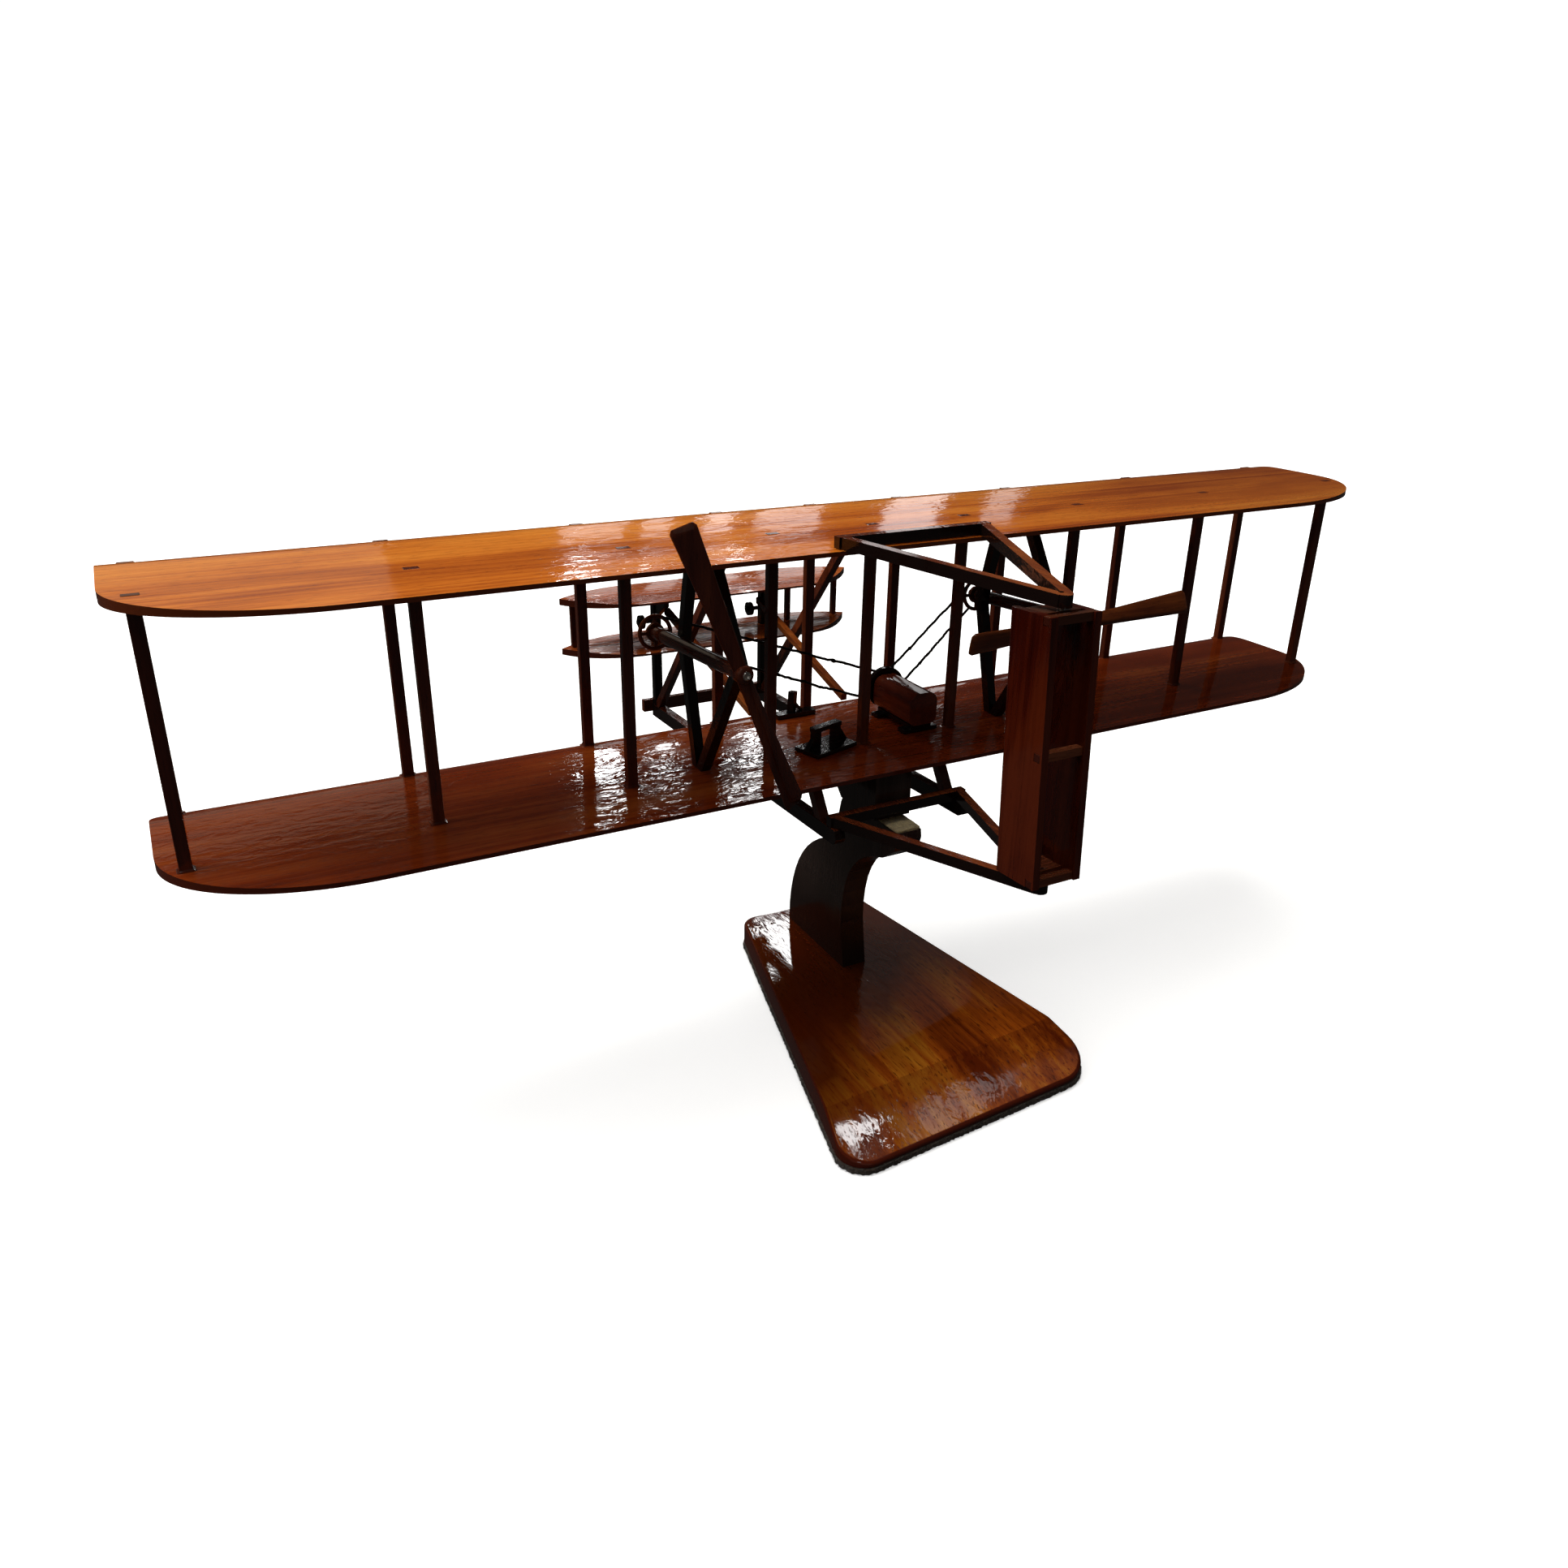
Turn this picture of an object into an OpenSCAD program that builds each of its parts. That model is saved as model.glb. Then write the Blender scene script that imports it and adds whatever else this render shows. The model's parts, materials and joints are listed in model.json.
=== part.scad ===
// Desk model of an early pusher biplane on a wooden stand.
// Millimetres. +X is the model's starboard side, +Y its nose, +Z up.
// The origin is on the underside of the base, below the plane of symmetry.

/* [Wings] */
// Span of both wings, tip to tip
wing_span = 503; // [440:1:560]
// Chord of the upper wing
upper_chord = 82.5; // [76:0.5:92]
// Chord of the lower wing
lower_chord = 80; // [76:0.5:92]
// Height of the lower wing's deck above the table
deck_z = 113.5; // [108:0.5:125]
// Distance from the lower wing's deck to the upper wing's top
wing_gap = 86; // [78:0.5:96]
// Forward edge of both wings
wing_nose_y = 80; // [78:0.5:84]

/* [Struts] */
// Front row of wing struts, Y
front_row_y = 74.6; // [73:0.1:76]
// Rear row of wing struts, Y
rear_row_y = 28.8; // [24:0.1:34]
// Strut width along the span
strut_w = 3.9; // [3:0.1:5]
// Strut depth along the chord
strut_d = 3.2; // [2.6:0.1:4]
// Width of the tenon that shows in the top of the wing
tenon_w = 5.2; // [4:0.1:6]

/* [Propellers] */
// Sideways distance of each propeller shaft from the middle
shaft_x = 72.2; // [66:0.1:80]
// Height of the propeller hubs
hub_z = 163.9; // [150:0.1:175]
// Slope of the shafts, down towards the nose
shaft_tilt = 4.4; // [0:0.1:7]
// Propeller radius
prop_radius = 52.5; // [40:0.5:58]
// Angle of the port propeller at rest, from upright
port_prop_turn = -21; // [-90:0.5:90]
// Angle of the starboard propeller at rest, from upright
starboard_prop_turn = 87.5; // [-90:0.5:90]
// Radius of the nail that each propeller turns on
nail_r = 0.8; // [0.6:0.05:1.2]
// Radial play of a propeller on its nail
nail_play = 0.05; // [0.02:0.01:0.1]

/* [Elevator] */
// Span of the two elevator surfaces
elevator_span = 150; // [120:1:180]
// Depth of the elevator surfaces ahead of their pointed tips
elevator_front = 13; // [8:0.5:20]
// Depth of the elevator surfaces behind their pointed tips
elevator_rear = 23; // [16:0.5:30]
// Thickness of the elevator surfaces
elevator_t = 2.6; // [1.6:0.1:4]
// Height of the upper elevator surface above the deck
elevator_upper = 31.8; // [26:0.5:36]
// Height of the lower elevator surface above the deck
elevator_lower = 8.4; // [4:0.1:12]

/* [Rudder] */
// Height of the rudder's sides
rudder_h = 87.4; // [80:0.5:89]
// Chord of the rudder's sides
rudder_chord = 19.2; // [15:0.1:24]
// Distance over the two sides
rudder_w = 19.2; // [14:0.2:22]
// Radius of the pins that the rudder swings on
rudder_pin_r = 0.9; // [0.7:0.05:1.2]
// Radial play of the rudder on its pins
rudder_pin_play = 0.06; // [0.02:0.01:0.1]

/* [Stand] */
// Length of the base
base_len = 154; // [140:1:180]
// Width of the base at its front end
base_front_w = 61; // [50:1:80]
// Width of the base at its rear end
base_rear_w = 116; // [90:1:130]
// Turn of the base under the model
base_turn = -3.5; // [-12:0.5:12]
// Slant of the base's rear edge
base_skew = 7; // [0:0.5:12]
// Thickness of the base, felt included
base_h = 12; // [10:0.5:16]
// Depth of the wide bevel along the base's rear edge
bevel_run = 28.6; // [10:0.1:32]
// Slope of that bevel
bevel_angle = 15; // [5:0.5:16]
// Thickness of the felt
felt_h = 2.6; // [1.5:0.1:4]
// Thickness of the curved arm
arm_w = 11; // [9:0.5:15]

/* [Hidden] */
top_z = deck_z + wing_gap;
half_span = wing_span / 2;
span_unit = 243;
stations = [-1, -0.684, -0.4, -0.17, 0, 0.17, 0.4, 0.684, 1] * span_unit;
rows = [for (i = [1:9]) i];
skid_x = 28.5;
skid_tail_z = deck_z - 18.5;
skid_nose_z = deck_z - 25.2;
skid_h = 6;
skid_w = 4.2;
skid_rear_y = -4;
skid_front_y = 172;
post_y = 170;
bar = 4;
rib = 3.4;
fin_t = 2.6;
rudder_lean = 3.1;
rudder_top = [0, -77, deck_z + 80.4];
elevator_y = 170.5;
arm_front_y = 75;
arm_rear_y = 27;
arm_top = deck_z - 23.4;
pad_h = 1;
saddle_rear_y = 5;
saddle_front_y = 36;
saddle_w = 16;
peg_r = 2.5;
peg_play = 0.08;
peg_y = 20;
screw_ys = [36, 62];
screw_r = 1.6;
black = [0.03, 0.03, 0.03];
dark = [0.18, 0.05, 0.03];
mahogany = [0.36, 0.12, 0.05];
amber = [0.62, 0.28, 0.09];

// ---- shared shapes -------------------------------------------------------

// A square bar from point a to point b; t is its depth in the upright plane
// that holds it, w its width across that plane.
module beam(a, b, t = bar, w = bar) {
    v = b - a;
    len = norm(v);
    translate(a) rotate([0, acos(v.z / len), atan2(v.y, v.x)])
        translate([-t / 2, -w / 2, 0]) cube([t, w, len]);
}

// A round rod from point a to point b.
module rod(a, b, r, fn = 24) {
    v = b - a;
    len = norm(v);
    translate(a) rotate([0, acos(v.z / len), atan2(v.y, v.x)])
        cylinder(r = r, h = len, $fn = fn);
}

module each_side() {
    children();
    mirror([1, 0, 0]) children();
}

// Keeps only what lies between two heights.
module between(z0, z1) {
    intersection() {
        children();
        translate([-400, -400, z0]) cube([800, 800, z1 - z0]);
    }
}

// Height of the wing's top above its deck, at share s of the chord.
function wing_crown(s) = s < 0.25
    ? 0.5 - 2.9 * pow(1 - s / 0.25, 3.2)
    : 0.5 - 1.1 * pow((s - 0.25) / 0.75, 2);
// The same for the wing's underside.
function wing_floor(s) = s < 0.08
    ? -2.4 - 2.1 * sqrt(1 - pow(1 - s / 0.08, 2))
    : -4.5 + 2.3 * (s - 0.08) / 0.92;
function share(y, chord) = (wing_nose_y - y) / chord;

function wing_section(chord) = concat(
    [for (k = [0:18]) let (s = pow(k / 18, 1.7)) [wing_nose_y - s * chord, wing_crown(s)]],
    [for (k = [10:-1:1]) let (s = pow(k / 10, 1.9)) [wing_nose_y - s * chord, wing_floor(s)]]
);

// Outline of a wing: a tight nose corner and a long raked tail corner at each tip.
tip_nose = 8;
tip_rake_x = 62;
tip_rake_y = 42;
function wing_outline(tail_y) = let (right = concat(
        [for (a = [90:-15:0]) [half_span - tip_nose + tip_nose * cos(a),
                               wing_nose_y - tip_nose + tip_nose * sin(a)]],
        [for (a = [0:-7.5:-90]) [half_span - tip_rake_x + tip_rake_x * cos(a),
                                 tail_y + tip_rake_y + tip_rake_y * sin(a)]]))
    concat(right, [for (k = [len(right) - 1:-1:0]) [-right[k].x, right[k].y]]);

// One wing with its deck at height z and a mortise at every strut.
module wing(z, chord, through) {
    difference() {
        intersection() {
            translate([-half_span, 0, z]) rotate([90, 0, 90])
                linear_extrude(wing_span) polygon(wing_section(chord));
            translate([0, 0, z - 10]) linear_extrude(20)
                polygon(wing_outline(wing_nose_y - chord));
        }
        for (x = stations, y = [front_row_y, rear_row_y])
            mortise(x, y, through ? z - 9 : z - 1.2, z + 9);
    }
}

// Keeps only what lies below a wing's underside; z and chord are that wing's.
module under_wing(z, chord) {
    intersection() {
        children();
        translate([-100, 0, 0]) rotate([90, 0, 90]) linear_extrude(200)
            polygon(concat([[wing_nose_y - chord, 0], [wing_nose_y + 100, 0], [wing_nose_y + 100, z - 2.4]],
                [for (k = [0:10]) let (s = pow(k / 10, 1.9)) [wing_nose_y - s * chord, z + wing_floor(s)]]));
    }
}

module mortise(x, y, z0, z1) {
    translate([x - tenon_w / 2, y - strut_d / 2, z0]) cube([tenon_w, strut_d, z1 - z0]);
}

// One wing strut: foot tenon, body and the top tenon that shows in the upper wing.
module strut(x, y) {
    s = share(y, upper_chord);
    foot = deck_z + wing_crown(share(y, lower_chord));
    head = top_z + wing_floor(s);
    translate([x - strut_w / 2, y - strut_d / 2, foot]) cube([strut_w, strut_d, head - foot]);
    mortise(x, y, deck_z - 1.2, foot);
    mortise(x, y, head, top_z + wing_crown(s) + 0.1);
}

// ---- stand ---------------------------------------------------------------

function arc(c, r, a0, a1, n = 10) =
    [for (k = [0:n]) let (a = a0 + (a1 - a0) * k / n) c + r * [cos(a), sin(a)]];

// Outline of the base, drawn about its own middle: rounded corners, a slanting rear edge.
module base_outline(grow = 0) {
    f = base_front_w / 2 + grow;
    r = base_rear_w / 2 + grow;
    l = base_len / 2 + grow;
    polygon(concat(
        arc([f - 8, l - 8], 8, 15, 90), arc([-f + 8, l - 8], 8, 90, 165),
        arc([-r + 11.5, -l + 4.2], 10, 169, 270 + base_skew),
        arc([r - 17.5, -l + 21.1], 16, 270 + base_skew, 371)));
}

module on_base() {
    translate([-1.3, 5, 0]) rotate([0, 0, base_turn]) children();
}

module base_felt() {
    color([0.08, 0.08, 0.06]) on_base() linear_extrude(felt_h) base_outline(0.3);
}

module stand_base() {
    bevel_z = base_h - bevel_run * tan(bevel_angle);
    color(mahogany) difference() {
        on_base() difference() {
            translate([0, 0, felt_h]) linear_extrude(base_h - felt_h) base_outline();
            translate([0, -base_len / 2 - 1, bevel_z]) rotate([0, 0, base_skew])
                rotate([bevel_angle, 0, 0]) translate([-100, -60, 0]) cube([200, 120, 20]);
        }
        for (y = screw_ys) screw_hole(y);
        translate([-arm_w / 2, arm_rear_y, base_h - 2]) cube([arm_w, arm_front_y - arm_rear_y, 9]);
    }
}

module screw_hole(y) {
    translate([0, y, -1]) cylinder(r = screw_r, h = 40, $fn = 24);
    translate([0, y, felt_h - 1]) cylinder(r = 3.4, h = 3, $fn = 32);
}

// Two wood screws that hold the arm to the base from below.
module base_screws() {
    color([0.7, 0.68, 0.6]) for (y = screw_ys) translate([0, y, felt_h]) {
        cylinder(r = 3.2, h = 1.8, $fn = 32);
        translate([0, 0, 1.8]) cylinder(r = screw_r - 0.1, h = 22, $fn = 24);
    }
}

// Side profile of the arm: a broad foot that sweeps up and back to a level nose.
arm_profile = concat(
    [[arm_front_y, base_h - 2], [arm_front_y, base_h + 8]],
    [for (k = [1:9]) let (t = k / 9, u = 1 - t)
        [u * u * arm_front_y + 2 * u * t * (arm_front_y - 3) + t * t * 45,
         u * u * (base_h + 8) + 2 * u * t * 53 + t * t * 66]],
    [[36.5, 77], [34, arm_top - 3], [32.5, arm_top]],
    [[-7, arm_top], [-7.6, arm_top - 3], [-6, arm_top - 8]],
    [for (k = [0:9]) let (t = k / 9, u = 1 - t)
        [u * u * 2 + 2 * u * t * 32 + t * t * 30.5,
         u * u * 76 + 2 * u * t * 68 + t * t * 32]],
    [[arm_rear_y, base_h - 2]]);

module stand_arm() {
    color(dark) difference() {
        translate([-arm_w / 2, 0, 0]) rotate([90, 0, 90]) linear_extrude(arm_w) polygon(arm_profile);
        for (y = screw_ys) translate([0, y, 0]) cylinder(r = screw_r, h = 28, $fn = 24);
        translate([0, peg_y, arm_top - 8]) cylinder(r = peg_r, h = 20, $fn = 32);
    }
}

module arm_pad() {
    color([0.72, 0.62, 0.45]) difference() {
        translate([-arm_w / 2, -7, arm_top]) cube([arm_w, 39, pad_h]);
        translate([0, peg_y, arm_top - 1]) cylinder(r = peg_r, h = 4, $fn = 32);
    }
}

// Dowel in the arm that the saddle drops over.
module stand_peg() {
    color([0.6, 0.45, 0.25]) translate([0, peg_y, arm_top - 8]) cylinder(r = peg_r, h = 18, $fn = 32);
}

// ---- airframe ------------------------------------------------------------

module saddle_block() {
    y0 = saddle_rear_y;
    y1 = saddle_front_y;
    low = arm_top + pad_h;
    color(dark) difference() {
        translate([-saddle_w / 2, 0, 0]) rotate([90, 0, 90]) linear_extrude(saddle_w)
            polygon([[y0, low], [y1 - 6, low], [y1, low + 6],
                     [y1, deck_z + wing_floor(share(y1, lower_chord))],
                     [y0, deck_z + wing_floor(share(y0, lower_chord))]]);
        translate([0, peg_y, low - 1]) cylinder(r = peg_r + peg_play, h = 11, $fn = 32);
    }
}

module lower_wing() { color(mahogany) wing(deck_z, lower_chord, false); }
module upper_wing() { color(amber) wing(top_z, upper_chord, true); }
module front_strut(i) { color(dark) strut(stations[i - 1], front_row_y); }
module rear_strut(i) { color(dark) strut(stations[i - 1], rear_row_y); }

// Height of the skids' upper edge, which falls towards the nose.
function skid_top(y) = skid_tail_z
    - (skid_tail_z - skid_nose_z) * (y - skid_rear_y) / (skid_front_y - skid_rear_y);

// A runner: long and straight, with a blunt rounded rear end.
module skid() {
    translate([-skid_w / 2, 0, 0]) rotate([90, 0, 90]) linear_extrude(skid_w)
        polygon(concat([[skid_front_y, skid_nose_z - skid_h], [skid_front_y, skid_nose_z],
                        [skid_rear_y + 1, skid_top(skid_rear_y + 1)]],
            arc([skid_rear_y + 3, skid_tail_z - skid_h + 3], 3, 180, 270)));
}

// Keeps only what stands above the skids' upper edge.
module above_skids() {
    intersection() {
        children();
        translate([-100, 0, 0]) rotate([90, 0, 90]) linear_extrude(200)
            polygon([[-60, skid_top(-60)], [240, skid_top(240)], [240, 400], [-60, 400]]);
    }
}

module port_skid() { color(dark) translate([-skid_x, 0, 0]) skid(); }
module starboard_skid() { color(dark) translate([skid_x, 0, 0]) skid(); }

// Cross board that joins the skids' front ends.
module skid_crossbar() {
    color(dark) translate([-35, skid_front_y, skid_nose_z - 4]) cube([70, 3, 6]);
}

// Short legs between the lower wing and the skids, front and rear.
module skid_legs() {
    color(dark) each_side() above_skids() under_wing(deck_z, lower_chord) {
        beam([skid_x, 24, deck_z + 3], [skid_x, 8, skid_tail_z - 3]);
        beam([skid_x, 74, deck_z + 3], [skid_x, 74, skid_tail_z - 6]);
    }
}

// Upright posts that carry the elevator.
module nose_posts() {
    top = deck_z + elevator_upper + elevator_floor(post_y - bar / 2) - 0.02;
    color(black) each_side() above_skids() translate([skid_x - bar / 2, post_y - bar / 2, skid_nose_z - 1])
        cube([bar, bar, top - skid_nose_z + 1]);
}

// Long braces from the upper wing's nose down to the skids' front ends.
module upper_braces() {
    color(dark) each_side() above_skids() under_wing(top_z, upper_chord) intersection() {
        beam([skid_x, 76.5, top_z - 1.5], [skid_x, 168.4, skid_nose_z - 1], bar, 3.4);
        cube([100, post_y - bar / 2, 400]);
    }
}

// Short braces from the nose posts back to the lower wing's nose.
module lower_braces() {
    color(amber) each_side() intersection() {
        beam([skid_x - 4.2, post_y - 1, deck_z + 22.5], [skid_x - 6, 76, deck_z - 2], 3, 3);
        translate([0, wing_nose_y + 0.4, 0]) cube([100, post_y - bar - wing_nose_y, 400]);
    }
}

// Outline of an elevator surface: long edges that curve in to a point at each tip.
elevator_curve = 36;
function elevator_edge(k, depth) = let (t = pow(k / 10, 1.3))
    [elevator_span / 2 - elevator_curve * t, depth * t * (2 - t)];
elevator_outline = let (right = concat([for (k = [10:-1:0]) elevator_edge(k, elevator_front)],
                                       [for (k = [1:10]) elevator_edge(k, -elevator_rear)]))
    concat(right, [for (k = [len(right) - 1:-1:0]) [-right[k].x, right[k].y]]);

elevator_nose_y = elevator_y + elevator_front;
elevator_chord = elevator_front + elevator_rear;
elevator_rim = 0.9;
// How full the elevator's section is at y: 0 at both edges, 1 in the middle.
function fullness(y) = 1 - pow(2 * (elevator_nose_y - y) / elevator_chord - 1, 2);
function elevator_floor(y) = -elevator_rim - (elevator_t - elevator_rim) * fullness(y);
elevator_ys = [for (k = [0:14]) elevator_nose_y - elevator_chord * k / 14];

// Thin at the nose and tail edges and full between them; z is the height of its edges.
module elevator(z) {
    intersection() {
        translate([-elevator_span, 0, z]) rotate([90, 0, 90]) linear_extrude(2 * elevator_span)
            polygon(concat([for (y = elevator_ys) [y, 0.4 * fullness(y)]],
                           [for (k = [14:-1:0]) [elevator_ys[k], elevator_floor(elevator_ys[k])]]));
        translate([0, elevator_y, z - 10]) linear_extrude(20) polygon(elevator_outline);
    }
}

module upper_elevator() { color(amber) elevator(deck_z + elevator_upper); }

module lower_elevator() {
    color(mahogany) difference() {
        elevator(deck_z + elevator_lower);
        each_side() translate([skid_x - bar / 2, post_y - bar / 2, 0]) cube([bar, bar, 300]);
    }
}

// Thin upright struts between the two elevator surfaces.
module elevator_struts() {
    low = deck_z + elevator_lower + 0.4;
    top = deck_z + elevator_upper + elevator_floor(elevator_y) - 0.02;
    color(dark) each_side() for (x = [42.5, 69])
        translate([x - 1.2, elevator_y - 1.2, low]) cube([2.4, 2.4, top - low]);
}

module elevator_brackets() {
    z = deck_z + elevator_upper;
    y = post_y - bar / 2;
    color(black) each_side() translate([skid_x - 1.2, 0, 0]) rotate([90, 0, 90]) linear_extrude(2.4)
        polygon(concat([[y, z - 13], [y, z + elevator_floor(y) - 0.02]],
            [for (k = [1:5]) let (u = y - 2.4 * k) [u, z + elevator_floor(u) - 0.02]],
            [[y - 12, z - 5]]));
}

// A small wheel on a pin, on the port side of each post.
module elevator_pulleys() {
    z = deck_z + elevator_upper - 15;
    color(black) for (side = [-1, 1]) translate([side * skid_x - bar / 2, post_y, z]) {
        rod([-4.4, 0, 0], [0, 0, 0], 1);
        rod([-6.4, 0, 0], [-4.4, 0, 0], 3.3, 32);
        rod([-7.4, 0, 0], [-6.4, 0, 0], 1.3);
    }
}

// ---- propulsion ----------------------------------------------------------

hub_y = -9.6;
hub_t = 6;
hub_r = 3.2;
shaft_r = 2.6;
shaft_gap = 0.4;
// The port shaft, side -1, is the longer.
function shaft_len(side) = side < 0 ? 72 : 65;
function sprocket_at(side) = hub_t / 2 + shaft_gap + shaft_len(side) - 1.5;

// Moves to a hub, with +Y forward along the sloping shaft.
module shaft_frame(side) {
    translate([side * shaft_x, hub_y, hub_z]) rotate([-shaft_tilt, 0, 0]) children();
}
// A point on the starboard shaft, its distance ahead of the hub given.
function on_shaft(d) = [shaft_x, hub_y + d * cos(shaft_tilt), hub_z - d * sin(shaft_tilt)];

module shaft(side) {
    tail = hub_t / 2 + shaft_gap;
    shaft_frame(side) difference() {
        union() {
            rod([0, tail, 0], [0, tail + shaft_len(side), 0], shaft_r, 32);
            translate([0, tail + shaft_len(side), 0]) sphere(r = shaft_r, $fn = 32);
        }
        rod([0, tail - 1, 0], [0, tail + 8, 0], nail_r, 24);
    }
}

module port_shaft() { color(dark) shaft(-1); }
module starboard_shaft() { color(dark) shaft(1); }

// Flat strip from a to b, each [Y, Z], for the diamond below.
module strip(a, b, w) {
    n = [a.y - b.y, b.x - a.x] * w / 2 / norm(b - a);
    polygon([a + n, a - n, b - n, b + n]);
}

// Diamond of bars, seen from the side, that carries one shaft.
brace_w = 3.8;
brace_x = shaft_x - shaft_r - brace_w / 2;
module shaft_braces() {
    nose = [on_shaft(57).y, on_shaft(57).z];
    tail = [on_shaft(10).y, on_shaft(10).z];
    under_wing(top_z, upper_chord) translate([brace_x - brace_w / 2, 0, 0]) rotate([90, 0, 90])
        linear_extrude(brace_w) intersection() {
            union() {
                strip([34.6, deck_z - 2], nose, brace_w);
                strip(nose, [37.5, top_z], brace_w);
                strip([33, deck_z - 2], tail, brace_w);
                strip(tail, [24, top_z], brace_w);
                translate(nose) circle(d = brace_w, $fn = 24);
                translate(tail) circle(d = brace_w, $fn = 24);
            }
            translate([-20, deck_z + 0.35]) square([100, wing_gap]);
        }
}
module port_shaft_braces() { color(black) mirror([1, 0, 0]) shaft_braces(); }
module starboard_shaft_braces() { color(black) shaft_braces(); }

// A chain wheel: rim, hub and four spokes.
module sprocket() {
    rotate_extrude($fn = 64) translate([6.2, 0]) circle(r = 0.8, $fn = 20);
    difference() {
        union() {
            cylinder(r = 3.6, h = 1.4, center = true, $fn = 32);
            for (a = [0, 90]) rotate([0, 0, a]) cube([12, 1.2, 1], center = true);
        }
        cylinder(r = shaft_r, h = 4, center = true, $fn = 32);
    }
}

module sprockets() {
    color(dark) for (side = [-1, 1])
        shaft_frame(side) translate([0, sprocket_at(side), 0]) rotate([90, 0, 0]) sprocket();
}

module prop_nails() {
    tail = hub_t / 2 + shaft_gap;
    color([0.75, 0.72, 0.68]) for (side = [-1, 1]) shaft_frame(side) {
        rod([0, -tail, 0], [0, tail + 7.5, 0], nail_r);
        translate([0, -hub_t / 2 - 0.3, 0]) rotate([90, 0, 0]) difference() {
            scale([1, 1, 0.7]) sphere(r = 1.5, $fn = 32);
            translate([-3, -3, -6]) cube([6, 6, 6]);
        }
    }
}

// Blade section at distance r from the hub: half chord, half thickness, pitch.
function blade_chord(u) = 2.4 + 2.2 * u;
function blade_thick(u) = 2.1 - u;
function blade_pitch(u) = -30 + 12 * u;
blade_steps = 9;
function blade_ring(u, side) = let (c = blade_chord(u), t = blade_thick(u), p = blade_pitch(u) * side)
    [for (q = [[c, 0], [c * 0.6, t], [-c * 0.6, t], [-c, 0], [-c * 0.6, -t], [c * 0.6, -t]])
        [q.x * cos(p) - q.y * sin(p), q.x * sin(p) + q.y * cos(p), side * u * prop_radius]];

module blade(side) {
    rings = [for (k = [0:blade_steps]) blade_ring(0.04 + 0.96 * k / blade_steps, side)];
    pts = [for (g = rings) each g];
    n = 6;
    walls = [for (k = [0:blade_steps - 1], j = [0:n - 1])
        [k * n + j, k * n + (j + 1) % n, (k + 1) * n + (j + 1) % n, (k + 1) * n + j]];
    ends = [[for (j = [n - 1:-1:0]) j], [for (j = [0:n - 1]) blade_steps * n + j]];
    polyhedron(pts, side < 0 ? concat(walls, ends)
        : [for (f = concat(walls, ends)) [for (j = [len(f) - 1:-1:0]) f[j]]]);
}

module propeller(side, turn) {
    shaft_frame(side) rotate([0, turn, 0]) difference() {
        union() {
            blade(1);
            blade(-1);
            rotate([90, 0, 0]) cylinder(r = hub_r, h = hub_t, center = true, $fn = 40);
        }
        rotate([90, 0, 0]) cylinder(r = nail_r + nail_play, h = 20, center = true, $fn = 32);
    }
}
module port_propeller() { color(dark) propeller(-1, port_prop_turn); }
module starboard_propeller() { color(dark) propeller(1, starboard_prop_turn); }

// Engine: block on a black mount, flywheel ahead of it, off centre to starboard.
engine_x = 27.2;
engine_w = 13;
engine_y = [27, 54];
engine_z = [deck_z + 3.8, deck_z + 17.2];
wheel_z = deck_z + 11;
wheel_y = 57;
wheel_r = 8.6;

module engine_block() {
    h = engine_z[1] - engine_z[0];
    low_r = 3;
    top_r = 4.5;
    color(mahogany) translate([engine_x, engine_y[1], engine_z[0]]) rotate([90, 0, 0])
        linear_extrude(engine_y[1] - engine_y[0]) union() {
            translate([-engine_w / 2, low_r]) square([engine_w, h - low_r - top_r]);
            translate([-engine_w / 2 + low_r, 0]) square([engine_w - 2 * low_r, h / 2]);
            translate([-engine_w / 2 + top_r, h / 2]) square([engine_w - 2 * top_r, h / 2]);
            for (s = [-1, 1]) {
                translate([s * (engine_w / 2 - low_r), low_r]) circle(r = low_r, $fn = 40);
                translate([s * (engine_w / 2 - top_r), h - top_r]) circle(r = top_r, $fn = 40);
            }
        }
}

module engine_mount() {
    floor_z = deck_z + 0.5;
    color(black) {
        translate([engine_x - 5, engine_y[0] + 1, floor_z + 1.6])
            cube([10, engine_y[1] - engine_y[0] - 2, engine_z[0] - floor_z - 1.6]);
        for (y = [engine_y[0] + 1, engine_y[1] - 6])
            translate([engine_x - engine_w / 2 - 1.5, y, floor_z]) cube([engine_w + 3, 5, 1.6]);
    }
}

module flywheel() {
    color(black) translate([engine_x, wheel_y, wheel_z]) rotate([90, 0, 0]) {
        difference() {
            cylinder(r = wheel_r, h = 2.2, $fn = 64);
            translate([0, 0, -0.1]) cylinder(r = wheel_r - 1.4, h = 0.7, $fn = 64);
        }
        cylinder(r = 1.6, h = wheel_y - engine_y[1], $fn = 32);
    }
}

// Stiff wire runs that stand for the two drive chains.
wire_r = 0.5;
module chain(side) {
    ring = on_shaft(sprocket_at(side));
    for (s = [-1, 1])
        rod([side * (ring.x - 3.2), ring.y, ring.z + s * 5.4],
            [engine_x + side * 3, wheel_y + 0.6, wheel_z + s * 6.4], wire_r, 16);
}
module port_chain() { color(black) chain(-1); }
module starboard_chain() { color(black) chain(1); }

// ---- pilot's place -------------------------------------------------------

cradle_at = [-16, 29, deck_z + 0.5];
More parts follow.
